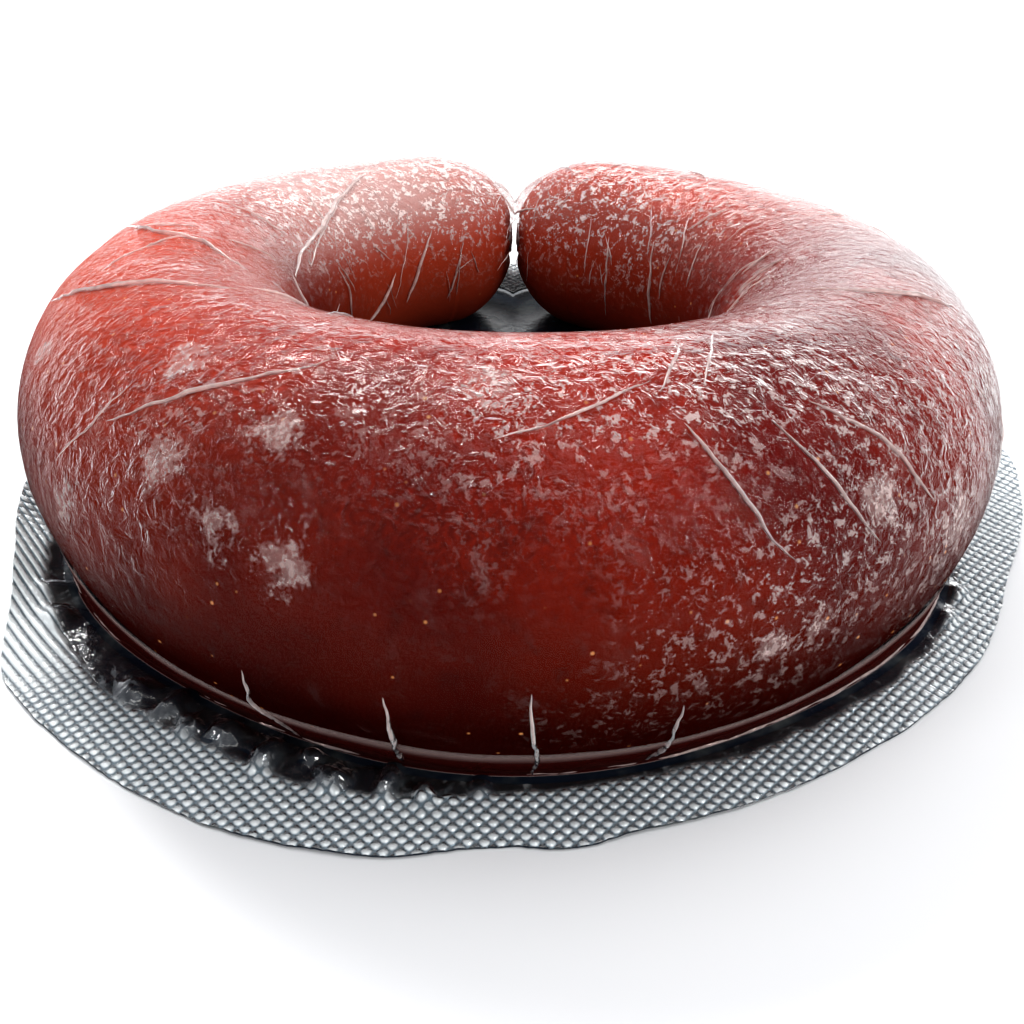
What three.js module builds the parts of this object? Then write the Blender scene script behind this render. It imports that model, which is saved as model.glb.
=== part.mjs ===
// A cured ring sausage, sealed under vacuum between two clear films.
// Millimetres, +Z up. The origin is the middle of the ring, on the plane that the pack rests on.
// The two gathered ends of the sausage meet at the back (+Y); the thickest part is at the front (-Y).
import * as THREE from "three";

// Driving dimensions
const RING_X = 58; // centre line of the ring, half its width
const RING_Y = 65.2; // centre line of the ring, half its depth
const TUBE_MEAN = 23; // mean radius of the sausage with the film over it
const TAPER = 0.21; // how much thicker than the mean the front is, and how much thinner the ends are
const FILM = 0.5; // thickness of the top film
const BASE_FILM = 0.4; // thickness of the base film
const GAP = 0.3; // clearance between pieces that touch
const SAG = 1.3; // how far the soft sausage settles onto the base film

// The gathered ends
const TAIL_RADIUS = 1.5; // the twisted neck of casing that the clip holds
const TAIL_TIP = 0.4; // from the plane where the ends meet to the tip of each neck
const DIMPLE_DEPTH = 2.6; // how far the casing is drawn in around the neck
const DIMPLE_RADIUS = 4;
const CLIP_WIRE = 0.5; // radius of the clip's wire
const CLIP_RADIUS = 2.5; // radius of the clip's loop
const CLIP_STRETCH = 1.2; // the loop is this much taller than wide
const CLIP_OFFSET = 1.0; // from the plane where the ends meet to the middle of the clip

// The films
const SADDLE = 0.2; // how much of the groove between the two ends the film spans, 0 none, 1 all
const SADDLE_REACH = 0.3; // how far from the groove it spans, as a share of the dome's length
const FOOT_FRONT = 0.56; // where the top film comes down, as a share of the sausage's radius
const FOOT_BACK = 0.88;
const INNER_FOOT = 0.7;
// The cut edge of the skirt: direction in degrees from +X, and distance from the origin
const EDGE = [
  [0, 98.5], [30, 95], [60, 92], [90, 90], [120, 91], [150, 92], [178, 88.5], [192, 87.7],
  [207, 89.5], [213, 92], [220, 98.6], [231, 98.4], [248, 98.4], [261, 96.4], [270, 92.4],
  [275, 94], [281, 92], [301, 91], [323, 92.4], [337, 91.6],
];

// How finely the surfaces are divided
const SECTION_STEPS = 24;
const ARCH_STEPS = 17;
const RING_STEP = 6; // degrees along the ring
const DOME_ANGLES = [12, 24, 36, 48, 60, 72, 84];
const CLIP_STEPS = 24;

const BACK = Math.PI / 2;
const TURN = 2 * Math.PI;
const SHEET_TOP = BASE_FILM + GAP + FILM;
const radians = THREE.MathUtils.degToRad;

// The sausage with its film is a round section carried along the ring, on the resting plane.
const tubeRadius = (angle) => TUBE_MEAN * (1 - TAPER * Math.sin(angle));
const domeLength = tubeRadius(BACK);

function ringFrame(angle) {
  const centre = new THREE.Vector2(RING_X * Math.cos(angle), RING_Y * Math.sin(angle));
  const outward = new THREE.Vector2(RING_Y * Math.cos(angle), RING_X * Math.sin(angle)).normalize();
  return { centre, outward };
}

function onRing(angle, across, height) {
  const { centre, outward } = ringFrame(angle);
  return new THREE.Vector3(centre.x + outward.x * across, centre.y + outward.y * across, height);
}

// Each end is a dome as long as its own radius; way is the distance from the plane where they meet.
const angleAt = (way) => BACK + way / RING_X;
const domeShare = (way) => 1 - Math.max(0, 1 - way / domeLength) ** 2;
const domeWay = (dome) => domeLength * (1 - Math.cos(dome));

// Directions along the ring between the two domes, the same for the sausage and its film
function barrelAngles() {
  const first = angleAt(domeLength);
  const last = BACK + TURN - domeLength / RING_X;
  const count = Math.round((last - first) / radians(RING_STEP));
  return Array.from({ length: count + 1 }, (_, i) => first + ((last - first) * i) / count);
}

// A closed skin over rings of equal length, from one pole to the other. Seen from the start pole,
// the rings run anticlockwise.
function loft(startPole, rings, endPole) {
  const steps = rings[0].length;
  const points = [startPole, ...rings.flat(), endPole];
  const faces = [];
  const at = (ring, i) => 1 + ring * steps + (i % steps);
  const last = points.length - 1;
  for (let i = 0; i < steps; i += 1) {
    faces.push([0, at(0, i), at(0, i + 1)]);
    faces.push([last, at(rings.length - 1, i + 1), at(rings.length - 1, i)]);
    for (let ring = 0; ring + 1 < rings.length; ring += 1) {
      faces.push([at(ring, i), at(ring + 1, i + 1), at(ring, i + 1)]);
      faces.push([at(ring, i), at(ring + 1, i), at(ring + 1, i + 1)]);
    }
  }
  const geometry = new THREE.BufferGeometry().setFromPoints(points);
  geometry.setIndex(faces.flat());
  geometry.computeVertexNormals();
  return geometry;
}

// The sausage: round above, settled flat where it lies on the base film
function sausageSection(angle, radius) {
  const centreHeight = tubeRadius(angle);
  return Array.from({ length: SECTION_STEPS }, (_, i) => {
    const around = (TURN * i) / SECTION_STEPS;
    const sink = Math.sin(around) < 0 ? (SAG * Math.sin(around) ** 2 * radius) / centreHeight : 0;
    const height = centreHeight + radius * Math.sin(around) - sink;
    return onRing(angle, radius * Math.cos(around), Math.max(height, BASE_FILM + GAP));
  });
}

function gatheredEnd() {
  const rings = [
    { way: TAIL_TIP, radius: TAIL_RADIUS },
    { way: DIMPLE_DEPTH, radius: TAIL_RADIUS },
  ];
  for (const degrees of DOME_ANGLES) {
    const dome = radians(degrees);
    const radius = (domeLength - FILM - GAP) * Math.sin(dome);
    const drawnIn = DIMPLE_DEPTH * Math.exp(-((radius / DIMPLE_RADIUS) ** 4));
    rings.push({ way: domeWay(dome) + drawnIn, radius });
  }
  return rings;
}

function sausageGeometry() {
  const end = gatheredEnd();
  const barrel = barrelAngles().map((angle) => sausageSection(angle, tubeRadius(angle) - FILM - GAP));
  const left = end.map(({ way, radius }) => sausageSection(angleAt(way), radius));
  const right = end.map(({ way, radius }) => sausageSection(BACK + TURN - way / RING_X, radius));
  const pole = (angle) => onRing(angle, 0, tubeRadius(angle));
  return loft(
    pole(angleAt(TAIL_TIP)),
    [...left, ...barrel, ...right.reverse()],
    pole(BACK + TURN - TAIL_TIP / RING_X),
  );
}

// A wire clip closed round the neck of one end; side is -1 at the left end and 1 at the right
function clipGeometry(side) {
  const clip = new THREE.TorusGeometry(CLIP_RADIUS, CLIP_WIRE, 8, CLIP_STEPS);
  clip.rotateY(BACK);
  clip.scale(1, 1, CLIP_STRETCH);
  return clip.translate(side * CLIP_OFFSET, RING_Y, domeLength);
}

// The film lies on the sausage, spans the groove between its ends, and comes straight down to a foot.
function filmRadius(angle) {
  const way = Math.min(angle - BACK, BACK + TURN - angle) * RING_X;
  const span = SADDLE * Math.exp(-((way / domeLength / SADDLE_REACH) ** 2));
  return tubeRadius(angle) * Math.sqrt(Math.min(1, domeShare(way) + span));
}

function footShare(angle) {
  return THREE.MathUtils.lerp(FOOT_FRONT, FOOT_BACK, THREE.MathUtils.smoothstep(Math.sin(angle), -1, -0.45));
}

// Points from the outer foot over the sausage to the inner foot, at a depth inside the outer face
function filmArch(angle, depth) {
  const radius = filmRadius(angle);
  const outerFoot = radius * footShare(angle);
  const innerFoot = radius * INNER_FOOT;
  const leaves = 2 * Math.atan(footShare(angle)) - BACK;
  const meets = Math.PI + BACK - 2 * Math.atan(INNER_FOOT);
  const points = [onRing(angle, outerFoot - depth, SHEET_TOP - depth)];
  for (let i = 0; i <= ARCH_STEPS; i += 1) {
    const around = leaves + ((meets - leaves) * i) / ARCH_STEPS;
    const reach = radius - depth;
    points.push(onRing(angle, reach * Math.cos(around), tubeRadius(angle) + reach * Math.sin(around)));
  }
  points.push(onRing(angle, depth - innerFoot, SHEET_TOP - depth));
  return points;
}

const edgeCurve = new THREE.CatmullRomCurve3(
  EDGE.map(([degrees, distance]) => new THREE.Vector3(degrees, distance, 0)).concat(
    new THREE.Vector3(EDGE[0][0] + 360, EDGE[0][1], 0),
  ),
);

// Distance of the cut edge from the origin in one direction
function edgeDistance(direction) {
  const degrees = (THREE.MathUtils.radToDeg(direction) + 720) % 360;
  let low = 0;
  let high = 1;
  for (let i = 0; i < 30; i += 1) {
    const middle = (low + high) / 2;
    if (edgeCurve.getPoint(middle).x < degrees) low = middle;
    else high = middle;
  }
  return edgeCurve.getPoint(low).y;
}

function edgePoint(foot, height) {
  const direction = Math.atan2(foot.y, foot.x);
  const distance = edgeDistance(direction);
  return new THREE.Vector3(distance * Math.cos(direction), distance * Math.sin(direction), height);
}

function filmAngles() {
  const domes = DOME_ANGLES.filter((degrees) => degrees > 20).map((degrees) => domeWay(radians(degrees)));
  const left = domes.map(angleAt);
  const right = domes.map((way) => BACK + TURN - way / RING_X).reverse();
  return [BACK, ...left, ...barrelAngles(), ...right];
}

function topFilmGeometry() {
  const angles = filmAngles();
  const face = (depth) => {
    const lines = angles.map((angle) => {
      const arch = filmArch(angle, depth);
      return [edgePoint(arch[0], SHEET_TOP - depth), ...arch];
    });
    return lines[0].map((_, i) => lines.map((line) => line[i]));
  };
  const middle = (depth) => new THREE.Vector3(0, 0, SHEET_TOP - depth);
  return loft(middle(0), [...face(0).reverse(), ...face(FILM)], middle(FILM));
}

function baseFilmGeometry() {
  const edge = (height) => filmAngles().map((angle) => edgePoint(filmArch(angle, 0)[0], height));
  const middle = (height) => new THREE.Vector3(0, 0, height);
  return loft(middle(BASE_FILM), [edge(BASE_FILM), edge(0)], middle(0));
}

function piece(name, geometry, color, roughness, metalness) {
  const mesh = new THREE.Mesh(geometry, new THREE.MeshStandardMaterial({ color, roughness, metalness }));
  mesh.name = name;
  return mesh;
}

const pack = new THREE.Group();
pack.add(piece("sausage", sausageGeometry(), 0x7a2018, 0.45, 0));
pack.add(piece("end_clip_left", clipGeometry(-1), 0xc8ccd0, 0.3, 1));
pack.add(piece("end_clip_right", clipGeometry(1), 0xc8ccd0, 0.3, 1));
pack.add(piece("top_film", topFilmGeometry(), 0x9a8a8a, 0.1, 0));
pack.add(piece("base_film", baseFilmGeometry(), 0x8496a0, 0.2, 0));

export default pack;
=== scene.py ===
# %% [markdown]
# # A cured ring sausage in its vacuum pack
#
# The real object is one link of sausage, bent into a ring until its two gathered ends meet, and
# sealed between two clear films. The air is drawn out, so the top film takes the exact shape of the
# sausage, creases where it has too much length, and lies down around it as a flat, embossed skirt.
#
# Everything here is worked out from one rule, a round section carried along an oval ring, so that
# the sausage, its film and every crease on it agree without any fitting.

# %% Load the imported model, which fixes where everything is
import math

import bpy
import numpy as np
from mathutils import Matrix, Vector, noise


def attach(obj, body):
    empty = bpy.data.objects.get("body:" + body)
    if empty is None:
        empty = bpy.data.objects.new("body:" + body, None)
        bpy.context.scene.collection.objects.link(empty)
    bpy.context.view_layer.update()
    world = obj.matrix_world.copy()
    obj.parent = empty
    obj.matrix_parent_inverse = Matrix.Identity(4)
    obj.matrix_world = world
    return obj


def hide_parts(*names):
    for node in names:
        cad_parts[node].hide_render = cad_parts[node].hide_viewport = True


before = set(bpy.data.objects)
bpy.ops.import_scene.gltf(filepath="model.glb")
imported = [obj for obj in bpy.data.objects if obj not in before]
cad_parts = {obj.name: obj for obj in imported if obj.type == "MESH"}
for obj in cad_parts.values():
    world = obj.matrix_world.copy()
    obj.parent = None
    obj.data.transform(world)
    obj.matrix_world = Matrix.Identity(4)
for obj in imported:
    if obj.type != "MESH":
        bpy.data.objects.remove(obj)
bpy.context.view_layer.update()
print("nodes", sorted(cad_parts))

# %% [markdown]
# ## The ring
#
# A point on the sausage has two angles: `angle` runs along the ring, from the back, where the ends
# meet, around the front and back again. `around` runs round the section, from 0 at the outside over
# the top. Working in these two angles is what makes the rest short: a crease is a few pairs of them.

# %% The ring and its section, in metres
MM = 0.001
RING_X = 58 * MM
RING_Y = 65.2 * MM
TUBE_MEAN = 23 * MM
TAPER = 0.21
BACK = math.pi / 2
TURN = 2 * math.pi


def tube_radius(angle):
    return TUBE_MEAN * (1 - TAPER * np.sin(angle))


def on_ring(angle, across, height):
    """Points at a distance across the centre line and a height above the resting plane."""
    outward = np.stack([RING_Y * np.cos(angle), RING_X * np.sin(angle)], -1)
    outward /= np.linalg.norm(outward, axis=-1, keepdims=True)
    centre = np.stack([RING_X * np.cos(angle), RING_Y * np.sin(angle)], -1)
    plan = centre + outward * np.asarray(across)[..., None]
    return np.concatenate([plan, np.broadcast_to(height, plan.shape[:-1])[..., None]], -1)


DOME = tube_radius(BACK)

# %% [markdown]
# ## Meshes from grids
#
# Each large surface is a grid of points, one row after another, so one function can turn any of them
# into a mesh. A row closes on itself, and a pole closes the grid where the rows shrink to a point.
# The same grid gives the normals that the lumps of the surface are pushed along.


# %% Grid helpers
def grid_mesh(name, rows, first_pole=None, last_pole=None, flip=False):
    """A mesh over rows of points that each close on themselves."""
    count, steps = rows.shape[:2]
    points = rows.reshape(-1, 3)
    row = np.arange(count - 1)[:, None]
    step = np.arange(steps)[None, :]
    here = row * steps + step
    beside = row * steps + (step + 1) % steps
    above = here + steps
    opposite = beside + steps
    faces = np.stack([here, beside, opposite, above], -1).reshape(-1, 4).tolist()
    for pole, ring, turn in ((first_pole, 0, False), (last_pole, count - 1, True)):
        if pole is None:
            continue
        points = np.vstack([points, pole])
        base = ring * steps
        for i in range(steps):
            fan = [len(points) - 1, base + (i + 1) % steps, base + i]
            faces.append(fan[::-1] if turn else fan)
    if flip:
        faces = [face[::-1] for face in faces]
    mesh = bpy.data.meshes.new(name)
    mesh.from_pydata(points.tolist(), [], faces)
    mesh.shade_smooth()
    piece = bpy.data.objects.new(name, mesh)
    bpy.context.scene.collection.objects.link(piece)
    return piece


def grid_normals(rows):
    """Unit normals of a grid whose rows close on themselves."""
    along = np.gradient(rows, axis=0)
    around = np.roll(rows, -1, 1) - np.roll(rows, 1, 1)
    normals = np.cross(around, along)
    return normals / np.maximum(np.linalg.norm(normals, axis=-1, keepdims=True), 1e-12)


def smoothstep(value, low, high):
    share = np.clip((value - low) / (high - low), 0, 1)
    return share * share * (3 - 2 * share)


def noise_at(points, size):
    """Smooth noise from -1 to 1, whose lumps are about as wide as size."""
    flat = (np.asarray(points).reshape(-1, 3) / size).tolist()
    return np.array([noise.noise(Vector(p)) for p in flat]).reshape(points.shape[:-1])


def give(piece, name, values):
    """Store one number for each point of a piece, for its material to read."""
    attribute = piece.data.attributes.new(name, "FLOAT", "POINT")
    attribute.data.foreach_set("value", np.asarray(values, np.float32).ravel())


# %% [markdown]
# ## Writing node trees as sums
#
# Node trees are long when every Math node is made by hand. This class wraps a socket, so that
# `1 - mask * 0.5` makes the two Math nodes that it says. Shader trees and Geometry Nodes trees share
# it, because both use the same Math node. Every other node comes from `add_node`.


# %% The node helpers
class Wire:
    """An output socket that can be added to, multiplied and plugged in."""

    def __init__(self, tree, socket):
        self.tree = tree
        self.socket = socket

    def maths(self, operation, *values):
        inputs = dict(enumerate(values))
        return add_node(self.tree, "ShaderNodeMath", {"operation": operation}, inputs)

    def __add__(self, other):
        return self.maths("ADD", self, other)

    def __radd__(self, other):
        return self.maths("ADD", other, self)

    def __sub__(self, other):
        return self.maths("SUBTRACT", self, other)

    def __rsub__(self, other):
        return self.maths("SUBTRACT", other, self)

    def __mul__(self, other):
        return self.maths("MULTIPLY", self, other)

    def __rmul__(self, other):
        return self.maths("MULTIPLY", other, self)

    def __truediv__(self, other):
        return self.maths("DIVIDE", self, other)

    def __rtruediv__(self, other):
        return self.maths("DIVIDE", other, self)

    def __pow__(self, other):
        return self.maths("POWER", self, other)

    def __abs__(self):
        return self.maths("ABSOLUTE", self)

    def sine(self):
        return self.maths("SINE", self)

    def at_least(self, other):
        return self.maths("MAXIMUM", self, other)

    def at_most(self, other):
        return self.maths("MINIMUM", self, other)

    def between(self, low, high, start=0.0, end=1.0):
        """start up to low, end from high on, and smooth in between."""
        inputs = {"Value": self, "From Min": low, "From Max": high, "To Min": start, "To Max": end}
        settings = {"interpolation_type": "SMOOTHSTEP"}
        return add_node(self.tree, "ShaderNodeMapRange", settings, inputs)


def add_node(tree, kind, settings=None, inputs=None, output=0):
    """A node of one kind: first its settings, then its inputs by name or number."""
    node = tree.nodes.new(kind)
    for name, value in (settings or {}).items():
        setattr(node, name, value)
    for key, value in (inputs or {}).items():
        if isinstance(value, Wire):
            tree.links.new(value.socket, node.inputs[key])
        else:
            node.inputs[key].default_value = value
    return Wire(tree, node.outputs[output])


# %% [markdown]
# ## The sausage
#
# One link of meat in its casing. It is thickest at the front of the ring and narrows towards its
# ends, where the casing is gathered into a twisted neck, so the dome around each neck is drawn into
# small pleats. It could be a curve with a bevel, but a bevel can't pleat or settle flat underneath,
# so its rows are worked out one section at a time: neck, dimple, pleated dome, barrel, and back.

# %% Sections of the sausage
UNDER_FILM = 0.2 * MM
SAG = 1.3 * MM
BASE_TOP = 0.12 * MM
SECTION_STEPS = 96
TAIL_RADIUS = 1.5 * MM
TAIL_TIP = 0.4 * MM
DIMPLE_DEPTH = 2.6 * MM
DIMPLE_RADIUS = 4 * MM
PLEATS = 11
PLEAT_DEPTH = 0.55 * MM
PLEAT_REACH = 9 * MM
LUMP = 0.3 * MM
LUMP_SIZE = 16 * MM


def lumps(points):
    """How far the soft meat stands out of the smooth ring."""
    return LUMP * noise_at(points, LUMP_SIZE) + 0.05 * MM * noise_at(points, 4 * MM)


def sausage_sections(angle, radius):
    around = np.linspace(0, TURN, SECTION_STEPS, endpoint=False)[None, :]
    angle, radius = angle[:, None], radius[:, None]
    below = np.minimum(np.sin(around), 0)
    height = tube_radius(angle) + radius * np.sin(around) - SAG * below**2 * radius / tube_radius(angle)
    across = radius * np.cos(around)
    return on_ring(angle + 0 * around, across, np.maximum(height, BASE_TOP))


def end_rows():
    """Way from the plane where the ends meet, and radius, from the tip of the neck to the barrel."""
    dome = np.radians(np.concatenate([np.arange(5, 30, 1.5), np.arange(30, 91, 3)]))
    radius = (DOME - UNDER_FILM) * np.sin(dome)
    way = DOME * (1 - np.cos(dome)) + DIMPLE_DEPTH * np.exp(-((radius / DIMPLE_RADIUS) ** 4))
    outside = radius > 1.2 * TAIL_RADIUS
    neck_way = np.array([TAIL_TIP, TAIL_TIP + 0.1 * MM, 1.2 * MM, DIMPLE_DEPTH])
    neck_radius = np.array([0.7, 1.0, 0.85, 1.0]) * TAIL_RADIUS
    return np.concatenate([neck_way, way[outside]]), np.concatenate([neck_radius, radius[outside]])


def pleated(rows, radius, side):
    """Furrows that run out from the neck, deepest beside it and gone where the barrel starts."""
    around = np.linspace(0, TURN, rows.shape[1], endpoint=False)[None, :]
    wobble = 0.6 * np.sin(3 * around + side) + 0.4 * np.sin(5 * around + 2 * side)
    furrow = np.abs(np.cos(PLEATS / 2 * around + wobble)) ** 3
    fade = np.exp(-((radius[:, None] / PLEAT_REACH) ** 2)) * smoothstep(radius[:, None], 0, DIMPLE_RADIUS)
    rows[..., 0] += side * PLEAT_DEPTH * furrow * fade
    return rows


def sausage():
    way, radius = end_rows()
    first, last = BACK + way / RING_X, BACK + TURN - way / RING_X
    barrel = np.linspace(first[-1], last[-1], 560)[1:-1]
    rows = np.concatenate([
        pleated(sausage_sections(first, radius), radius, -1),
        sausage_sections(barrel, tube_radius(barrel) - UNDER_FILM),
        pleated(sausage_sections(last, radius), radius, 1)[::-1],
    ])
    lifted = rows + grid_normals(rows) * lumps(rows)[..., None]
    rows = np.where(rows[..., 2:] > BASE_TOP, lifted, rows)
    rows[..., 2] = np.maximum(rows[..., 2], BASE_TOP)
    poles = [on_ring(np.array(a), 0.0, DOME) for a in (first[0], last[0])]
    return grid_mesh("ring_sausage", rows, poles[0], poles[1], flip=True)


meat = sausage()
print("sausage", len(meat.data.polygons), "faces", [round(d / MM, 1) for d in meat.dimensions])

# %% [markdown]
# ## The clips
#
# Each neck of casing is closed with a short aluminium wire, pressed into a loop. The two clips lie
# back to back where the ends meet. A curve with a round bevel is the shortest way to a bent wire.

# %% Wire clips
CLIP_WIRE = 0.5 * MM
CLIP_RADIUS = 2.5 * MM
CLIP_STRETCH = 1.2
CLIP_OFFSET = 1.0 * MM
CLIP_OVERLAP = math.radians(25)


def clip(name, side):
    turns = np.linspace(-CLIP_OVERLAP, TURN + CLIP_OVERLAP, 60)
    spread = np.linspace(-0.25, 0.25, 60) * CLIP_WIRE
    curve = bpy.data.curves.new(name, "CURVE")
    curve.dimensions = "3D"
    curve.bevel_depth = 0.85 * CLIP_WIRE
    curve.bevel_resolution = 4
    curve.use_fill_caps = True
    spline = curve.splines.new("POLY")
    spline.points.add(len(turns) - 1)
    for point, turn, aside in zip(spline.points, turns, spread):
        y = RING_Y + CLIP_RADIUS * math.cos(turn)
        z = DOME + CLIP_STRETCH * CLIP_RADIUS * math.sin(turn)
        point.co = (side * CLIP_OFFSET + aside, y, z, 1)
    bent = bpy.data.objects.new(name + "_curve", curve)
    bpy.context.scene.collection.objects.link(bent)
    seen = bent.evaluated_get(bpy.context.evaluated_depsgraph_get())
    mesh = bpy.data.meshes.new_from_object(seen)
    mesh.shade_smooth()
    mesh.name = name
    piece = bpy.data.objects.new(name, mesh)
    bpy.context.scene.collection.objects.link(piece)
    bpy.data.objects.remove(bent)
    return piece


clips = [clip("clip_left", -1), clip("clip_right", 1)]
print("clips", [len(c.data.polygons) for c in clips], "faces")

# %% [markdown]
# ## The top film over the sausage
#
# The film hugs the sausage past its widest line, leaves it where the line down to the foot touches
# the section, and turns out into the skirt in a small fillet, which is the bright line seen along the
# foot. Between the two ends it spans the groove like a saddle. One row of the grid follows one such
# profile, from the skirt, up over the sausage and down to the floor of the hole, so it stays one sheet.

# %% The film's profile
SADDLE = 0.2
SADDLE_REACH = 0.3
FOOT_FRONT = 0.56
FOOT_BACK = 0.88
INNER_FOOT = 0.7
FILM_REST = 0.3 * MM
FOOT_STRIP = 1.7 * MM
FILM_STEPS = 760
ARCH_POINTS = 76


def film_radius(angle):
    way = np.minimum(angle - BACK, BACK + TURN - angle) * RING_X
    dome = 1 - np.maximum(0, 1 - way / DOME) ** 2
    span = SADDLE * np.exp(-((way / DOME / SADDLE_REACH) ** 2))
    return tube_radius(angle) * np.sqrt(np.minimum(1, dome + span))


def foot_share(angle):
    return FOOT_FRONT + (FOOT_BACK - FOOT_FRONT) * smoothstep(np.sin(angle), -1, -0.45)


def fillet(before, corner, after, reach, count):
    """Points of a rounded corner, each reach away from it along both sides."""
    start = corner + (before - corner) / np.linalg.norm(before - corner, axis=-1, keepdims=True) * reach
    end = corner + (after - corner) / np.linalg.norm(after - corner, axis=-1, keepdims=True) * reach
    share = np.linspace(0, 1, count)[:, None, None]
    return (1 - share) ** 2 * start + 2 * share * (1 - share) * corner + share**2 * end


def straight(start, end, count):
    """Points between two ends, without the ends."""
    share = np.linspace(0, 1, count + 2)[1:-1, None, None]
    return start + (end - start) * share


def film_profile(angle):
    """Across and height of every point of the profile, one row for each point."""
    radius, height = film_radius(angle), tube_radius(angle)
    foot = np.stack([radius * foot_share(angle), 0 * angle + FILM_REST], -1)
    inner = np.stack([-radius * INNER_FOOT, 0 * angle + FILM_REST], -1)
    leaves = 2 * np.arctan(foot_share(angle)) - BACK
    meets = math.pi + BACK - 2 * math.atan(INNER_FOOT)
    around = leaves + (meets - leaves) * np.linspace(0, 1, ARCH_POINTS)[:, None]
    arch = np.stack([radius * np.cos(around), height + radius * np.sin(around)], -1)
    strip = foot + [FOOT_STRIP + 0.6 * MM, 0]
    floor = inner - [8 * MM, 0]
    outer_corner = fillet(strip, foot, arch[0], 1.0 * MM, 8)
    inner_corner = fillet(arch[-1], inner, floor, 2.0 * MM, 8)
    return np.concatenate([
        strip[None],
        outer_corner,
        straight(outer_corner[-1], arch[0], 9),
        arch,
        straight(arch[-1], inner_corner[0], 7),
        inner_corner,
    ])


def film_cover():
    angle = BACK + np.linspace(0, TURN, FILM_STEPS, endpoint=False)
    profile = film_profile(angle)
    rows = on_ring(np.broadcast_to(angle, profile.shape[:2]), profile[..., 0], profile[..., 1])
    centre = np.array([0, 0, FILM_REST])
    floor = centre + (rows[-1] - centre) * np.linspace(1, 0.03, 16)[1:, None, None]
    rows = np.concatenate([rows, floor])
    push = lumps(rows) * smoothstep(rows[..., 2], 1 * MM, 8 * MM)
    rows = rows - grid_normals(rows) * push[..., None]
    piece = grid_mesh("film_cover", rows, last_pole=centre)
    web = np.zeros(len(piece.data.vertices))
    web[4 * FILM_STEPS:18 * FILM_STEPS] = 1
    give(piece, "web", web)
    return piece


cover = film_cover()
print("film over the sausage", len(cover.data.polygons), "faces")

# %% [markdown]
# ## The skirt
#
# Outside the foot the two films lie flat on each other and are sealed. The roll they were cut from is
# embossed with small diamonds, so that air can leave while the bag is drawn empty, and the cut edge
# is not a circle. The plain sheet is made here as a grid between the foot and the cut edge, with
# gentle waves, the small pillows of film beside the foot and the flap that curls up at the left. How
# strongly each point is embossed is stored on it, and the next step raises the diamonds from that.

# %% The cut edge and the lie of the skirt
EDGE = [
    (0, 98.5), (30, 95), (60, 92), (90, 90), (120, 91), (150, 92), (178, 88.5), (192, 87.7),
    (207, 89.5), (213, 92), (220, 98.6), (231, 98.4), (248, 98.4), (261, 96.4), (270, 92.4),
    (275, 94), (281, 92), (301, 91), (323, 92.4), (337, 91.6),
]
# Direction in degrees and how far outside the foot's strip the diamonds start, in millimetres
DIAMONDS_START = [
    (0, 0.2), (60, 1.5), (120, 1.5), (180, 0.6), (205, 1.6), (219, 4), (228, 6), (240, 5.6),
    (252, 5.6), (262, 3.6), (270, 1.2), (278, 0.6), (290, 1.2), (300, 1.8), (318, 1.6), (330, 0.8),
]
# Direction in degrees, way out from the strip, length along the foot, width and height, in millimetres
PILLOWS = [
    (231.0, 3.4, 2.2, 2.2, 1.3), (235.5, 2.0, 1.5, 3.2, 1.9), (239.0, 4.2, 1.7, 1.8, 1.5),
    (242.5, 2.4, 2.6, 2.2, 1.7), (247.5, 3.4, 1.5, 3.0, 2.1), (251.5, 1.2, 1.6, 1.6, 1.3),
    (254.5, 3.8, 2.4, 2.0, 2.0), (259.5, 2.2, 1.4, 3.0, 2.2), (263.0, 3.2, 1.3, 1.6, 1.3),
    (268.0, 0.8, 1.4, 1.6, 0.9), (216.0, 3.0, 2.6, 2.2, 1.6), (211.5, 1.4, 1.8, 2.6, 1.4),
    (327.0, 1.0, 2.6, 1.4, 0.9), (332.0, 1.4, 2.2, 1.6, 1.0),
]
SKIRT_STEPS = 1600
SKIRT_ROWS = 46
FLAP_LIFT = 5 * MM
WAVE = 0.5 * MM
CRUMPLE = 0.9 * MM
CRUMPLE_SIZE = 2.2 * MM
PILLOW_RADIUS = 84 * MM
NICK = 0.25 * MM
NICK_SIZE = 1.6 * MM
WANDER = 0.3 * MM
WANDER_SIZE = 7 * MM


def round_table(table, direction):
    """A smooth closed curve through a table of directions and values."""
    degrees, values = np.array(table, float).T
    centres = np.arange(0, 360, 1.0)
    straight_line = np.interp(centres, degrees, values, period=360)
    kernel = np.exp(-((np.arange(-8, 9) / 2.6) ** 2))
    wrapped = np.concatenate([straight_line[-8:], straight_line, straight_line[:8]])
    smooth = np.convolve(wrapped, kernel / kernel.sum(), "valid")
    return np.interp(np.degrees(direction) % 360, centres, smooth, period=360)


def skirt_lift(direction, share):
    """How far the sealed films stand above the resting plane."""
    window = smoothstep(direction, math.radians(176), math.radians(196))
    window = window * (1 - smoothstep(direction, math.radians(207), math.radians(221)))
    flap = FLAP_LIFT * window * share**1.3
    wave = 0.5 + 0.5 * np.sin(9 * direction + 1.2 * np.sin(4 * direction))
    waves = WAVE * share**2 * (wave + 0.4 * np.sin(23 * direction + 2) ** 2)
    return flap + waves


def pillow_height(direction, distance):
    height = np.zeros(np.broadcast(direction, distance).shape)
    for degrees, out, along, across, high in PILLOWS:
        aside = (direction - math.radians(degrees)) * PILLOW_RADIUS / (along * MM)
        way = (distance - out * MM) / (across * MM)
        height += high * MM * np.exp(-((aside**2 + way**2) ** 1.6))
    return height


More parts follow.
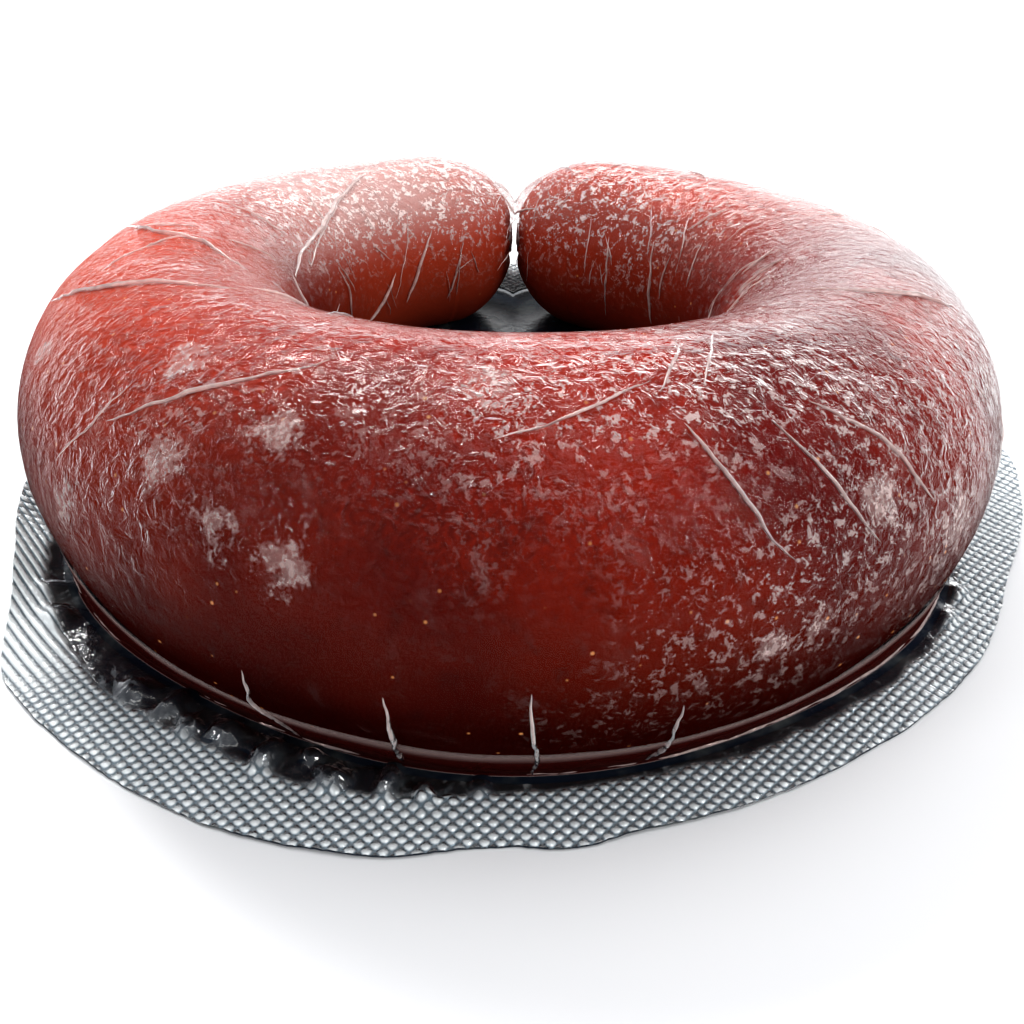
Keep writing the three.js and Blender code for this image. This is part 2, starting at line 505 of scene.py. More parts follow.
def skirt_sheet():
    angle = BACK + np.linspace(0, TURN, SKIRT_STEPS, endpoint=False)
    start = on_ring(angle, film_radius(angle) * foot_share(angle) + FOOT_STRIP, 0.0)
    direction = np.arctan2(start[:, 1], start[:, 0]) % TURN
    edge = round_table(EDGE, direction) * MM
    edge -= NICK * np.abs(noise_at(start, NICK_SIZE)) + WANDER * np.abs(noise_at(start, WANDER_SIZE))
    inside = np.linalg.norm(start[:, :2], axis=-1)
    share = np.linspace(0, 1, SKIRT_ROWS)[:, None]
    reach = inside + (edge - inside) * share
    distance = reach - inside
    puffed = smoothstep(direction, math.radians(224), math.radians(232))
    puffed = puffed * (1 - smoothstep(direction, math.radians(262), math.radians(270)))
    puffed = puffed * np.exp(-(((distance - 3 * MM) / (3 * MM)) ** 4))
    height = FILM_REST + skirt_lift(direction, share) + pillow_height(direction, distance)
    places = np.stack([start[:, 0] + 0 * distance, start[:, 1] + 0 * distance, distance], -1)
    height += CRUMPLE * puffed * np.abs(noise_at(places, CRUMPLE_SIZE))
    rows = np.stack([reach * np.cos(direction), reach * np.sin(direction), height], -1)
    starts = round_table(DIAMONDS_START, direction) * MM
    uneven = 0.8 * MM * noise_at(rows, 4 * MM)
    emboss = smoothstep(distance + uneven, starts - 0.4 * MM, starts + 1.2 * MM)
    ribbed = smoothstep(direction, math.radians(196), math.radians(205))
    ribbed = ribbed * (1 - smoothstep(direction, math.radians(219), math.radians(228))) + 0 * share
    return rows, emboss, ribbed


skirt_rows, skirt_emboss, skirt_ribbed = skirt_sheet()
skirt = grid_mesh("film_skirt", skirt_rows[::-1])
give(skirt, "emboss", skirt_emboss[::-1])
give(skirt, "ribbed", skirt_ribbed[::-1])
print("plain skirt", len(skirt.data.polygons), "faces")

# %% [markdown]
# ## Raising the diamonds
#
# Thousands of equal diamonds are a rule, not a model, so Geometry Nodes raise them. The tree reads
# each point's position, turns it by 45 degrees, and adds the height of a small pad in every square of
# the lattice, times the embossing stored on that point. Where the film is stretched at the left, one
# direction of the lattice is pulled flat and only its ribs are left.

# %% Geometry Nodes for the embossing
PITCH = 1.5 * MM
RELIEF = 0.2 * MM


def new_modifier_tree(name, numbers):
    """A Geometry Nodes tree with a geometry input and output, and named number inputs."""
    tree = bpy.data.node_groups.new(name, "GeometryNodeTree")
    face = tree.interface
    face.new_socket("Geometry", in_out="INPUT", socket_type="NodeSocketGeometry")
    for label, value in numbers.items():
        socket = face.new_socket(label, in_out="INPUT", socket_type="NodeSocketFloat")
        socket.default_value = value
    face.new_socket("Material", in_out="INPUT", socket_type="NodeSocketMaterial")
    face.new_socket("Geometry", in_out="OUTPUT", socket_type="NodeSocketGeometry")
    entry = tree.nodes.new("NodeGroupInput")
    return tree, {socket.name: Wire(tree, socket) for socket in entry.outputs if socket.name}


def finish_tree(tree, geometry, material):
    """Realize what is left as instances, give the material and end the tree."""
    plain = add_node(tree, "GeometryNodeRealizeInstances", inputs={0: geometry})
    painted = add_node(tree, "GeometryNodeSetMaterial", inputs={"Geometry": plain, "Material": material})
    end = tree.nodes.new("NodeGroupOutput")
    tree.links.new(painted.socket, end.inputs[0])


def named(tree, name, kind="FLOAT", output=0):
    return add_node(tree, "GeometryNodeInputNamedAttribute", {"data_type": kind}, {"Name": name}, output)


def applied(piece, tree, material, numbers=None):
    """Run a tree on a piece and keep its result as a plain mesh."""
    modifier = piece.modifiers.new(tree.name, "NODES")
    modifier.node_group = tree
    for socket in tree.interface.items_tree:
        if socket.in_out == "INPUT" and socket.name in (numbers or {}):
            modifier[socket.identifier] = numbers[socket.name]
        if socket.in_out == "INPUT" and socket.name == "Material":
            modifier[socket.identifier] = material
    seen = piece.evaluated_get(bpy.context.evaluated_depsgraph_get())
    mesh = bpy.data.meshes.new_from_object(seen)
    piece.modifiers.clear()
    mesh.name = piece.name
    piece.data = mesh
    return piece


def pad(wave):
    """A flat-topped pad between narrow grooves, from a wave that is 0 in the grooves."""
    return abs(wave).between(0.0, 0.55)


def embossing_tree():
    tree, value = new_modifier_tree("diamond_embossing", {"Pitch": PITCH, "Relief": RELIEF})
    position = add_node(tree, "GeometryNodeInputPosition")
    split = add_node(tree, "ShaderNodeSeparateXYZ", inputs={0: position}).socket.node
    x, y = Wire(tree, split.outputs["X"]), Wire(tree, split.outputs["Y"])
    turn = math.pi * math.sqrt(0.5)
    one = ((x + y) * turn / value["Pitch"]).sine()
    other = ((x - y) * turn / value["Pitch"]).sine()
    ribbed = named(tree, "ribbed")
    height = pad(one) * (ribbed + (1 - ribbed) * pad(other))
    height = height * named(tree, "emboss") * value["Relief"]
    lift = add_node(tree, "ShaderNodeCombineXYZ", inputs={"Z": height})
    inputs = {"Geometry": value["Geometry"], "Offset": lift}
    moved = add_node(tree, "GeometryNodeSetPosition", inputs=inputs)
    finish_tree(tree, moved, value["Material"])
    return tree


# %% [markdown]
# ## Creases
#
# Where the film has more length than the sausage needs, it is pinched into thin double folds that
# stand up from the surface. Each one is a path of a few (angle, around) pairs in degrees, laid on the
# film. Geometry Nodes turn the paths into tapering ridges: they resample each path, let it wander a
# little, and sweep a flattened section along it, turned to the film's own normal.

# %% Paths on the film
# Width in millimetres, then pairs of degrees along the ring and round the section
CREASES = [
    (0.9, [(-130, 43), (-123, 58), (-116, 71), (-110, 81)]),
    (0.8, [(-163, 45), (-153, 69), (-147, 86), (-139, 105)]),
    (1.9, [(124, 98), (136, 118), (152, 136), (166, 142), (177, 147)]),
    (1.1, [(128, 106), (140, 124), (154, 140), (165, 150)]),
    (0.9, [(177, 64), (187, 88), (190, 105), (201, 123)]),
    (1.0, [(116, 150), (122, 172), (127, 196)]),
    (0.8, [(131, 172), (137, 190), (143, 206)]),
    (0.7, [(106, 160), (109, 178), (112, 200)]),
    (0.8, [(60, 150), (58, 179), (59, 210)]),
    (0.8, [(45, 148), (41, 175), (40, 198)]),
    (0.9, [(-74, 64), (-72, 52), (-70, 40), (-69, 32), (-67, 26)]),
    (0.9, [(-65, 61), (-63, 50), (-60, 32), (-59, 26), (-58, 22)]),
    (0.8, [(-60, 64), (-57, 56), (-54, 47), (-52, 36), (-50, 25)]),
    (0.9, [(-33, 104), (-30, 88), (-24, 71), (-20, 57), (-20, 45)]),
    (0.6, [(-91, 62), (-86, 67), (-81, 72), (-75, 79)]),
    (1.0, [(-67, 97), (-71, 86), (-75, 74)]),
    (0.9, [(-62, 97), (-67, 84), (-70, 74)]),
    (1.5, [(-88, 0), (-88, -12), (-87, -34), (-87, -58)]),
    (1.2, [(-76, -10), (-76, -24), (-75, -40), (-75, -58)]),
    (1.3, [(-99, -4), (-99, -27), (-100, -56)]),
    (0.9, [(-111, -8), (-112, -26), (-112, -56)]),
    (0.8, [(97, 62), (92, 50), (86, 66)]),
    (0.9, [(94, 110), (90, 122), (84, 132)]),
]
# The tight line of the foot, where the two films meet, from the left flank round to the right
FOOT_LINE = [
    (0.5, [(-176, -90), (-160, -90), (-145, -90), (-130, -90)]),
    (0.9, [(-133, -90), (-118, -90), (-105, -90), (-92, -90)]),
    (1.1, [(-96, -90), (-75, -90), (-50, -90), (-25, -90), (-8, -90)]),
    (0.4, [(-88, -66), (-70, -68), (-50, -66), (-30, -70), (-14, -66)]),
    (0.5, [(-12, -90), (20, -90), (50, -90), (80, -90)]),
    (0.5, [(100, -90), (130, -90), (160, -90), (182, -90)]),
]
SMALL_CREASES = 90
WEB_REACH = 26
CREASE_REST = 0.75 * MM


def film_point(angle, around):
    """A point on the film and its outward direction. Below the last touch it goes down to the foot."""
    angle = BACK + (angle - BACK) % TURN
    leaves = 2 * np.arctan(foot_share(angle)) - BACK
    on_arch = np.maximum(around, leaves)
    radius = film_radius(angle)
    across, height = radius * np.cos(on_arch), tube_radius(angle) + radius * np.sin(on_arch)
    down = np.clip((leaves - around) / math.radians(WEB_REACH), 0, 1)
    across = across + (radius * foot_share(angle) - across) * down
    height = height + (FILM_REST - height) * down
    point = on_ring(angle, across, height)
    outward = on_ring(angle, across + np.cos(on_arch), height + np.sin(on_arch)) - point
    return point + outward * lumps(point)[:, None], outward


def smooth_path(pairs, count=60):
    """A smooth path through a few pairs of degrees."""
    pairs = np.radians(np.array(pairs, float))
    knots = np.linspace(0, 1, len(pairs))
    share = np.linspace(0, 1, count)
    bend = np.stack([np.interp(share, knots, pairs[:, i]) for i in (0, 1)], -1)
    for _ in range(6):
        bend[1:-1] = (bend[:-2] + 2 * bend[1:-1] + bend[2:]) / 4
    return bend[:, 0], bend[:, 1]


def small_creases():
    """Short folds that cross the inner and back sides, where the film has most length to spare."""
    random = np.random.default_rng(7)
    paths = []
    for _ in range(SMALL_CREASES):
        angle = random.uniform(-80, 260)
        middle = random.choice([random.uniform(120, 195), random.uniform(5, 120)], p=[0.75, 0.25])
        half = random.uniform(6, 22)
        slant = random.normal(0, 3)
        ends = [(angle - slant, middle - half), (angle, middle), (angle + 0.6 * slant, middle + half)]
        paths.append((random.uniform(0.2, 0.5), ends))
    return paths


def crease_paths(name, paths):
    """One mesh of open edges, with the width and the film's normal on every point."""
    points, edges, widths, lies = [], [], [], []
    for width, pairs in paths:
        place, outward = film_point(*smooth_path(pairs))
        place[:, 2] = np.maximum(place[:, 2], CREASE_REST)
        start = len(points)
        points.extend(place.tolist())
        lies.extend(outward.tolist())
        widths.extend([width * MM] * len(place))
        edges.extend((i, i + 1) for i in range(start, len(points) - 1))
    mesh = bpy.data.meshes.new(name)
    mesh.from_pydata(points, edges, [])
    lie = mesh.attributes.new("lie", "FLOAT_VECTOR", "POINT")
    lie.data.foreach_set("vector", np.array(lies, np.float32).ravel())
    piece = bpy.data.objects.new(name, mesh)
    bpy.context.scene.collection.objects.link(piece)
    give(piece, "width", widths)
    return piece


# %% Geometry Nodes for the ridges
def ridge_tree():
    numbers = {"Step": 0.5 * MM, "Wander": 0.35 * MM, "Wander Size": 5 * MM, "Flatness": 0.55}
    tree, value = new_modifier_tree("pinched_ridges", numbers)
    curve = add_node(tree, "GeometryNodeMeshToCurve", inputs={"Mesh": value["Geometry"]})
    settings = {"mode": "LENGTH"}
    inputs = {"Curve": curve, "Length": value["Step"]}
    curve = add_node(tree, "GeometryNodeResampleCurve", settings, inputs)
    position = add_node(tree, "GeometryNodeInputPosition")
    inputs = {"Vector": position, "Scale": 1 / value["Wander Size"], "Detail": 2.0}
    drift = add_node(tree, "ShaderNodeTexNoise", {"normalize": False}, inputs, "Color")
    inputs = {0: drift, "Scale": value["Wander"]}
    sideways = add_node(tree, "ShaderNodeVectorMath", {"operation": "SCALE"}, inputs)
    curve = add_node(tree, "GeometryNodeSetPosition", inputs={"Geometry": curve, "Offset": sideways})
    lie = named(tree, "lie", "FLOAT_VECTOR")
    settings = {"mode": "FREE"}
    curve = add_node(tree, "GeometryNodeSetCurveNormal", settings, {"Curve": curve, "Normal": lie})
    share = add_node(tree, "GeometryNodeSplineParameter")
    taper = (share * math.pi).sine() ** 0.6
    radius = named(tree, "width") * 0.5 * taper
    circle = add_node(tree, "GeometryNodeCurvePrimitiveCircle", inputs={"Resolution": 10, "Radius": 1.0})
    flat = add_node(tree, "ShaderNodeCombineXYZ", inputs={"X": 1.0, "Y": value["Flatness"], "Z": 1.0})
    profile = add_node(tree, "GeometryNodeTransform", inputs={"Geometry": circle, "Scale": flat})
    inputs = {"Curve": curve, "Profile Curve": profile, "Scale": radius, "Fill Caps": True}
    ridge = add_node(tree, "GeometryNodeCurveToMesh", inputs=inputs)
    ridge = add_node(tree, "GeometryNodeSetShadeSmooth", inputs={"Geometry": ridge})
    finish_tree(tree, ridge, value["Material"])
    return tree


# %% [markdown]
# ## The casing's finish
#
# Cured meat under a moist casing is a deep red that isn't even: warmer where the fat shows through,
# with fine grain and a few bright specks. Light and shade are painted into it as well: a painted light
# makes it brightest at the top left and the back, and a painted shade makes it almost maroon low down.
# All the gloss is the film's, which clings to the casing, so the casing has none of its own.
# Patterns are read from Object coordinates, in metres, so a scale of 100 makes lumps a centimetre wide.

# %% Material helpers
def new_material(name):
    material = bpy.data.materials.new(name)
    material.use_nodes = True
    material.node_tree.nodes.clear()
    return material, material.node_tree


def close_material(tree, shader):
    output = tree.nodes.new("ShaderNodeOutputMaterial")
    tree.links.new(shader.socket, output.inputs["Surface"])


def pattern(tree, where, scale, detail=3.0, roughness=0.5, distortion=0.0):
    inputs = {"Vector": where, "Scale": scale, "Detail": detail, "Roughness": roughness}
    inputs["Distortion"] = distortion
    return add_node(tree, "ShaderNodeTexNoise", inputs=inputs)


def mix_colour(tree, share, first, second):
    inputs = {0: share, 6: first, 7: second}
    return add_node(tree, "ShaderNodeMix", {"data_type": "RGBA"}, inputs, 2)


def parts(tree, where):
    """The x and y of a place, and its height as a share of the sausage's own height there."""
    split = add_node(tree, "ShaderNodeSeparateXYZ", inputs={0: where}).socket.node
    x, y, z = (Wire(tree, split.outputs[axis]) for axis in "XYZ")
    return x, y, z / (2 * TUBE_MEAN - y * (2 * TUBE_MEAN * TAPER / RING_Y))


def bumped(tree, height, distance, strength=1.0):
    inputs = {"Height": height, "Distance": distance, "Strength": strength}
    return add_node(tree, "ShaderNodeBump", inputs=inputs)


# %% The casing
DEEP_RED = (0.19, 0.007, 0.004, 1)
WARM_RED = (0.42, 0.026, 0.007, 1)
PAINTED_SHADE_MAROON = (0.010, 0.0005, 0.0004, 1)
PAINTED_LIGHT_ORANGE = (0.62, 0.085, 0.035, 1)
SPECK = (0.75, 0.30, 0.10, 1)
DARK_GRAIN = (0.09, 0.008, 0.006, 1)


def casing():
    material, tree = new_material("casing")
    where = add_node(tree, "ShaderNodeTexCoord", output="Object")
    broad = pattern(tree, where, 28.0, 2.0)
    mottle = pattern(tree, where, 260.0, 5.0, 0.65)
    grain = pattern(tree, where, 1500.0, 2.0, 0.7)
    red = mix_colour(tree, broad.between(0.35, 0.7), DEEP_RED, WARM_RED)
    red = mix_colour(tree, mottle.between(0.5, 0.8) * 0.55, red, DARK_GRAIN)
    red = mix_colour(tree, grain.between(0.55, 0.9) * 0.35, red, WARM_RED)
    x, y, rise = parts(tree, where)
    # Painted light: the top left and the back of the sausage are made a brighter orange, as if lit there.
    painted_light_left_top = (1 - x.between(-0.07, 0.0)) * rise.between(0.6, 0.9)
    painted_light_behind = y.between(-0.01, 0.04)
    painted_light = (painted_light_left_top * 0.7).at_least(painted_light_behind * x.between(-0.02, 0.02, 0.95, 0.5))
    red = mix_colour(tree, painted_light, red, PAINTED_LIGHT_ORANGE)
    # Painted shade: the colour darkens to near maroon lower down the sausage, less so at the back.
    shade = (1 - rise.between(0.28, 1.05)) * (1 - 0.5 * painted_light_behind)
    red = mix_colour(tree, shade * 0.97, red, PAINTED_SHADE_MAROON)
    cells = add_node(tree, "ShaderNodeTexVoronoi", None, {"Vector": where, "Scale": 260.0}, "Distance")
    red = mix_colour(tree, (1 - cells.between(0.03, 0.09)) * 0.8, red, SPECK)
    shader = {
        "Base Color": red,
        "Roughness": 0.42 + 0.2 * mottle,
        "Specular IOR Level": 0.0,
        "Normal": bumped(tree, mottle + 0.4 * grain, 0.12 * MM, 0.6),
    }
    close_material(tree, add_node(tree, "ShaderNodeBsdfPrincipled", inputs=shader))
    return material


# %% [markdown]
# ## The film's finish
#
# Clear film is seen only by what it reflects. The shader mixes a Transparent surface with a
# Principled one. Its share is the Fresnel reflection, where the Principled surface acts as a mirror,
# plus the haze, where dried juice and trapped air make the film a thin pale skin. Part of that pale
# skin is painted highlight: pale flecks on the top, the right and the back and a pale veil on the back
# of the left dome stand in for glints of the crinkled film. The small creases that break the
# reflections up are bump, because they are only tenths of a millimetre high. The reflection fades out
# towards the foot and on the left flank, which is painted shade, and where the film leaves the meat it
# is painted an opaque dark red, the painted shade of the hollow under the sausage.

# %% The film over the sausage
HAZE_AND_SHEEN = (0.80, 0.62, 0.58, 1)
MIRROR = (1.0, 1.0, 1.0, 1)
FILM_IOR = 1.3
SHINE = 1.15
PAINTED_UNDERSIDE_SHADE = (0.050, 0.005, 0.004, 1)
# Places where air or juice under the film shows as a pale patch: angle, around, size in millimetres
PATCHES = [
    (-121, 42, 5.5), (-111, 56, 4.5), (-114, 31, 4.5), (-107, 27, 5.0), (-126, 69, 5.0),
    (-65, 6, 3.5), (-69, 4, 2.5), (-46, 14, 6.0), (-92, 79, 4.5), (-57, 33, 5.0), (-150, 40, 5.0),
    (-133, 15, 5.0), (-28, 35, 5.0), (20, 60, 7.0), (75, 70, 6.0), (105, 60, 6.0), (150, 50, 6.0),
    (60, 20, 6.0), (120, 15, 6.0),
]


def patch_mask(tree, where):
    """1 inside the pale patches, with torn edges."""
    edge = pattern(tree, where, 330.0, 3.0, 0.8)
    total = None
    for angle, around, size in PATCHES:
        centre, _ = film_point(np.radians([angle]), np.radians([around]))
        inputs = {0: where, 1: tuple(centre[0])}
        away = add_node(tree, "ShaderNodeVectorMath", {"operation": "DISTANCE"}, inputs, "Value")
        one = 1 - (away / (size * MM) + (edge - 0.5) * 3.0).between(0.3, 0.75)
        total = one if total is None else total.at_least(one)
    return total


def film_surface(tree, haze_and_sheen, colour, roughness, normal, shine=SHINE, metal=0.0):
    """Mirror by Fresnel, a thin pale or metal skin by the pale share, part of it painted sheen, and clear
    elsewhere.
    """
    inputs = {"IOR": FILM_IOR, "Normal": normal}
    mirror = add_node(tree, "ShaderNodeFresnel", inputs=inputs) * shine
    mirror = mirror.at_most(1.0)
    share = haze_and_sheen + mirror * (1 - haze_and_sheen)
    metallic = mirror / (share + 0.001)
    shader = {
        "Base Color": mix_colour(tree, metallic, colour, MIRROR),
        "Metallic": metallic.at_least(metal),
        "Roughness": roughness,
        "Specular IOR Level": 0.0,
        "Normal": normal,
    }
    film = add_node(tree, "ShaderNodeBsdfPrincipled", inputs=shader)
    clear = add_node(tree, "ShaderNodeBsdfTransparent")
    close_material(tree, add_node(tree, "ShaderNodeMixShader", inputs={0: share, 1: clear, 2: film}))


def tight_film():
    material, tree = new_material("tight_film")
    where = add_node(tree, "ShaderNodeTexCoord", output="Object")
    x, y, rise = parts(tree, where)
    region = pattern(tree, where, 22.0, 2.0)
    crinkle = pattern(tree, where, 460.0, 3.0, 0.65, 1.0)
    cells = add_node(tree, "ShaderNodeTexVoronoi", None, {"Vector": where, "Scale": 300.0}, "Distance")
    streak = pattern(tree, where, 1100.0, 1.0, 0.6)
    broken = region.between(0.42, 0.62)
    relief = crinkle * (1.0 + 0.7 * broken) + cells * (0.3 + broken) * 0.6 + streak * 0.15
    normal = bumped(tree, relief * rise.between(0.1, 0.95, 0.2, 1.2), 0.42 * MM)
    right = x.between(-0.06, 0.06, 0.15, 1.0)
    # Painted light: a pale veil and dense pale flecks over the top of the left dome at the back.
    painted_light_behind = y.between(-0.01, 0.04) * rise.between(0.5, 0.85) * x.between(-0.03, 0.02, 1.7, 0.6)
    thin = pattern(tree, where, 160.0, 3.0, 0.75, 0.6).between(0.56, 0.75)
    # Painted highlight: pale flecks on the top, the right, the back and along the crest stand in for
    # glints of crinkled film.
    painted_glints = pattern(tree, where, 620.0, 3.0, 0.85, 0.3).between(0.53, 0.60)
    torn = 0.16 + 0.22 * streak.between(0.4, 0.65)
    painted_glint_places = (0.05 + broken) * rise.between(0.2, 0.7) * right
    painted_glint_places = painted_glint_places + 1.1 * painted_light_behind + 0.35 * rise.between(0.75, 0.95)
    # The pale share: a faint veil that grows with height, the painted veil and glint flecks, and the real
    # pale patches of air and juice.
    haze_and_sheen = 0.05 * thin * rise + 0.14 * painted_light_behind * painted_light_behind + 0.42 * painted_glints * painted_glint_places
    haze_and_sheen = haze_and_sheen + torn * patch_mask(tree, where)
    # Painted shade on the reflection: the mirror is weakened lower down and on the left flank.
    shine = rise.between(0.3, 0.95, 0.0, SHINE) * x.between(-0.085, -0.04, 0.1, 1.0)
    # Painted shade: where the film leaves the meat it is made nearly opaque and dark red, standing in for
    # the shadow under the sausage.
    web = add_node(tree, "ShaderNodeAttribute", {"attribute_name": "web"}, output="Fac")
    web = web * (1 - rise.between(0.12, 0.28))
    haze_and_sheen = haze_and_sheen.at_least(0.9 * web)
    film_surface(tree, haze_and_sheen, mix_colour(tree, web, HAZE_AND_SHEEN, PAINTED_UNDERSIDE_SHADE), 0.06 + 0.08 * thin, normal, shine)
    return material


# %% [markdown]
# ## The other finishes
#
# The skirt is nearly opaque where it is embossed, because each diamond scatters and mirrors light, and
# clear in the plain strip beside the foot. Its colours are painted light and shade: bright silver on the
# pads is a painted reflection, the dark grooves are painted shade, and pale streaks in the plain strip
# are painted glints. The base film is one dark smoky sheet, and its darkness is painted shade for the
# shadow under the pack. The creases are two thicknesses of film pressed together, so they look whiter
# than the film around them, and their pale skin is raised further as a painted highlight. The clips are
# drawn aluminium wire, dulled unevenly by pressing.

# %% The embossed skirt, the base film, the creases and the clips
PAINTED_SILVER_SHEEN = (0.95, 1.0, 1.0, 1)
PAINTED_GROOVE_SHADE = (0.12, 0.18, 0.22, 1)
SMOKE_AND_SHADE = (0.010, 0.017, 0.030, 1)
PALE_SMOKE = (0.20, 0.22, 0.20, 1)
PINCHED_AND_SHEEN = (0.92, 0.70, 0.64, 1)


def lattice(tree, where, pitch):
    """The same pads as the mesh has, rounder, so that every diamond catches some light."""
    split = add_node(tree, "ShaderNodeSeparateXYZ", inputs={0: where}).socket.node
    x, y = Wire(tree, split.outputs["X"]), Wire(tree, split.outputs["Y"])
    turn = math.pi * math.sqrt(0.5) / pitch
    one, other = abs(((x + y) * turn).sine()), abs(((x - y) * turn).sine())
    return one ** 0.7, other ** 0.7


def embossed_film():
    material, tree = new_material("embossed_film")
    where = add_node(tree, "ShaderNodeTexCoord", output="Object")
    emboss = add_node(tree, "ShaderNodeAttribute", {"attribute_name": "emboss"}, output="Fac")
    ribbed = add_node(tree, "ShaderNodeAttribute", {"attribute_name": "ribbed"}, output="Fac")
    one, other = lattice(tree, where, PITCH)
    pads = one * (ribbed + (1 - ribbed) * other)
    rough = pattern(tree, where, 1600.0, 3.0, 0.7)
    dents = pattern(tree, where, 500.0, 3.0)
    relief = pads * emboss + 0.45 * rough * emboss + 0.8 * dents * (1 - emboss)
    normal = bumped(tree, relief, 0.4 * MM)
    # Painted reflection and shade: bright silver on the pads, dark in the grooves.
    painted_sheen_and_shade = mix_colour(tree, pads.between(0.25, 0.95 - 0.5 * dents), PAINTED_GROOVE_SHADE, PAINTED_SILVER_SHEEN)
    # Painted glints: pale streaks in the plain strip beside the foot.
    painted_strip_glints = pattern(tree, where, 240.0, 4.0, 0.7, 1.5).between(0.55, 0.72)
    haze_and_sheen = emboss * 0.9 + (1 - emboss) * (0.02 + 0.25 * painted_strip_glints)
    film_surface(tree, haze_and_sheen, painted_sheen_and_shade, 0.05 + 0.11 * emboss, normal, 5.0, 0.2)
    return material


def smoke_and_shade_film():
    material, tree = new_material("smoke_and_shade_film")
    where = add_node(tree, "ShaderNodeTexCoord", output="Object")
    cloud = pattern(tree, where, 120.0, 4.0)
    dents = pattern(tree, where, 400.0, 3.0)
    shader = {
        # Painted shade: the dark smoky colour stands in for the shadow under the pack seen through the
        # films; the paler clouds vary at random.
        "Base Color": mix_colour(tree, cloud.between(0.45, 0.8) * 0.5, SMOKE_AND_SHADE, PALE_SMOKE),
        "Roughness": 0.18 + 0.1 * cloud,
        "Normal": bumped(tree, dents, 0.15 * MM),
    }
    close_material(tree, add_node(tree, "ShaderNodeBsdfPrincipled", inputs=shader))
    return material


def pinched_film():
    material, tree = new_material("pinched_film")
    where = add_node(tree, "ShaderNodeTexCoord", output="Object")
    fibre = pattern(tree, where, 700.0, 3.0)
    normal = bumped(tree, fibre, 0.1 * MM)
    # Partly painted highlight: doubled film is whiter, and its pale skin is raised so creases and the
    # foot line read bright even in shade.
    film_surface(tree, 0.15 + 0.6 * fibre, PINCHED_AND_SHEEN, 0.08, normal, 3.0)
    return material


def wire_metal():
    material, tree = new_material("clip_wire")
    where = add_node(tree, "ShaderNodeTexCoord", output="Object")
    drawn = pattern(tree, where, 2600.0, 2.0)
    dull = pattern(tree, where, 300.0, 3.0)
    shader = {
        "Base Color": mix_colour(tree, dull, (0.80, 0.81, 0.82, 1), (0.52, 0.53, 0.54, 1)),
        "Metallic": 1.0,
        "Roughness": 0.22 + 0.2 * dull,
        "Normal": bumped(tree, drawn, 0.02 * MM),
    }
    close_material(tree, add_node(tree, "ShaderNodeBsdfPrincipled", inputs=shader))
    return material


# %% [markdown]
# ## Putting the pieces together
#
# The trees run now, the results are kept as plain meshes, and the base film is made from the same
# rows as the skirt, a little lower, so that the two lie on each other everywhere.

# %% The base film
UNDER_SKIRT = 0.14 * MM
BASE_THICKNESS = 0.07 * MM
BASE_REST = 0.1 * MM


def base_sheet():
    outer = skirt_rows[::3, ::2].copy()
    outer[..., 2] -= UNDER_SKIRT
    inner = outer[0] * [1, 1, 0] + [0, 0, BASE_REST]
    floor = inner * np.linspace(0.04, 0.97, 14)[:, None, None] * [1, 1, 0] + [0, 0, BASE_REST]
    top = np.concatenate([floor, outer])
    under = top[::-1] - [0, 0, BASE_THICKNESS]
    rows = np.concatenate([top, under])
    low, high = np.array([0, 0, BASE_REST - BASE_THICKNESS]), np.array([0, 0, BASE_REST])
    return grid_mesh("base_sheet", rows, high, low, flip=True)


base = base_sheet()
skirt = applied(skirt, embossing_tree(), embossed_film())
creases = crease_paths("film_creases", CREASES + FOOT_LINE + small_creases())
creases = applied(creases, ridge_tree(), pinched_film())
for piece, material in ((meat, casing()), (cover, tight_film()), (base, smoke_and_shade_film())):
    piece.data.materials.append(material)
wire = wire_metal()
for piece in clips:
    piece.data.materials.clear()
    piece.data.materials.append(wire)
pieces = [meat, *clips, cover, skirt, creases, base]
for piece in pieces:
    print(piece.name, sum(len(face.vertices) - 2 for face in piece.data.polygons), "triangles")

# %% Each piece stands for its CAD node and rides on the one body
STANDS_FOR = {
    "ring_sausage": ("sausage", "casing"),
    "clip_left": ("end_clip_left", "clip"),
    "clip_right": ("end_clip_right", "clip"),
    "film_cover": ("top_film", "top_film"),
    "film_skirt": ("top_film", "top_film"),
    "film_creases": ("top_film", "top_film"),
    "base_sheet": ("base_film", "base_film"),
}
for piece in pieces:
    node, slot = STANDS_FOR[piece.name]
    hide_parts(node)
    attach(piece, "root")

# %% [markdown]
# ## Floor, light and camera
#
# A plain pale floor and soft light, as in a small studio. A low wide softbox behind the pack draws the
# bright line along the crest. A smaller one behind on the left is the key, and a large one is overhead.
# Two small lamps at the sides put glints on the skirt, and a pale surround fills the shadows.


# %% The floor
FLOOR_HALF = 3.0
FLOOR_DROP = 0.05 * MM


def floor():
    mesh = bpy.data.meshes.new("floor")
    corners = [(-FLOOR_HALF, -FLOOR_HALF), (FLOOR_HALF, -FLOOR_HALF)]
    corners += [(FLOOR_HALF, FLOOR_HALF), (-FLOOR_HALF, FLOOR_HALF)]
    mesh.from_pydata([(x, y, -FLOOR_DROP) for x, y in corners], [], [(0, 1, 2, 3)])
    ground = bpy.data.objects.new("floor", mesh)
    bpy.context.scene.collection.objects.link(ground)
    material, tree = new_material("floor")
    inputs = {"Base Color": (0.86, 0.86, 0.86, 1), "Roughness": 0.7}
    close_material(tree, add_node(tree, "ShaderNodeBsdfPrincipled", inputs=inputs))
    mesh.materials.append(material)
    return ground


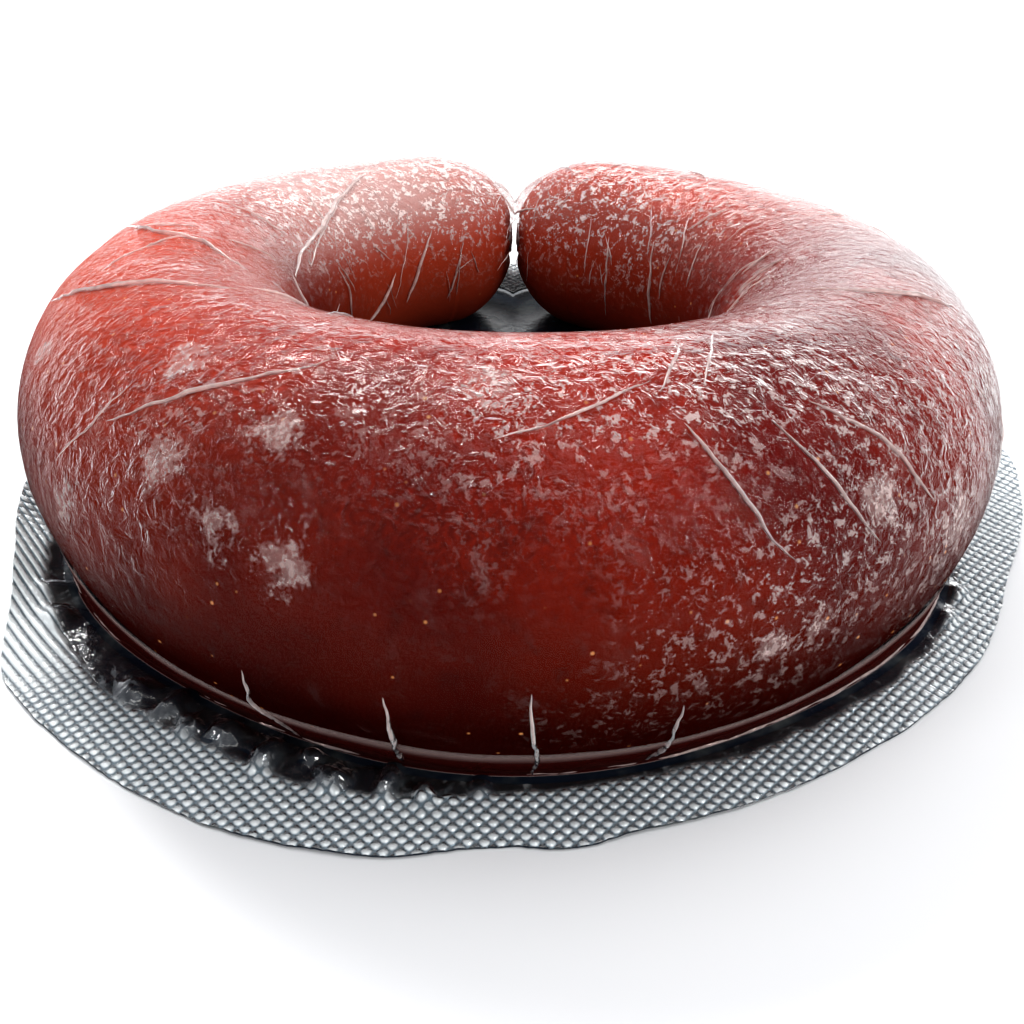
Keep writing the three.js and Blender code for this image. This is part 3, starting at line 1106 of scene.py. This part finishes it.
floor()


# %% Lights
SURROUND = (0.9, 0.93, 1.0, 1)
SURROUND_STRENGTH = 0.42


def softbox(name, place, target, size, power):
    light = bpy.data.lights.new(name, "AREA")
    light.shape = "RECTANGLE"
    light.size, light.size_y = size
    light.energy = power
    lamp = bpy.data.objects.new(name, light)
    lamp.location = place
    lamp.rotation_euler = (Vector(target) - Vector(place)).to_track_quat("-Z", "Y").to_euler()
    bpy.context.scene.collection.objects.link(lamp)


softbox("back_wall", (0.45, 0.95, 0.32), (0, 0, 0.03), (1.3, 0.50), 4.0)
softbox("key", (-0.22, 0.42, 0.62), (0, 0, 0.03), (0.26, 0.26), 4.6)
softbox("overhead", (0.10, -0.05, 1.0), (0, 0, 0), (0.9, 0.9), 4.5)
softbox("left_glint", (-0.75, -0.45, 0.40), (0, 0, 0.02), (0.14, 0.14), 0.9)
softbox("right_glint", (0.70, -0.50, 0.50), (0, 0, 0.02), (0.25, 0.25), 3.0)
world = bpy.data.worlds.new("studio")
world.use_nodes = True
world.node_tree.nodes["Background"].inputs["Color"].default_value = SURROUND
world.node_tree.nodes["Background"].inputs["Strength"].default_value = SURROUND_STRENGTH
bpy.context.scene.world = world
bpy.context.scene.view_settings.view_transform = "Standard"
bpy.context.scene.view_settings.look = "Medium High Contrast"


# %% Camera
CAMERA_PLACE = Vector((0, -0.1847, 0.1187))
CAMERA_TARGET = Vector((0.00075, 0, -0.0136))
CAMERA_ROLL = math.radians(1.384)
CAMERA_LENS = 39.58


def camera():
    lens = bpy.data.cameras.new("camera")
    lens.lens = CAMERA_LENS
    lens.sensor_width = 36
    lens.clip_start = 0.005
    view = bpy.data.objects.new("camera", lens)
    turn = (CAMERA_TARGET - CAMERA_PLACE).to_track_quat("-Z", "Y").to_matrix()
    turn = turn @ Matrix.Rotation(CAMERA_ROLL, 3, "Z")
    view.location = CAMERA_PLACE
    view.rotation_euler = turn.to_euler()
    bpy.context.scene.collection.objects.link(view)
    bpy.context.scene.camera = view


camera()
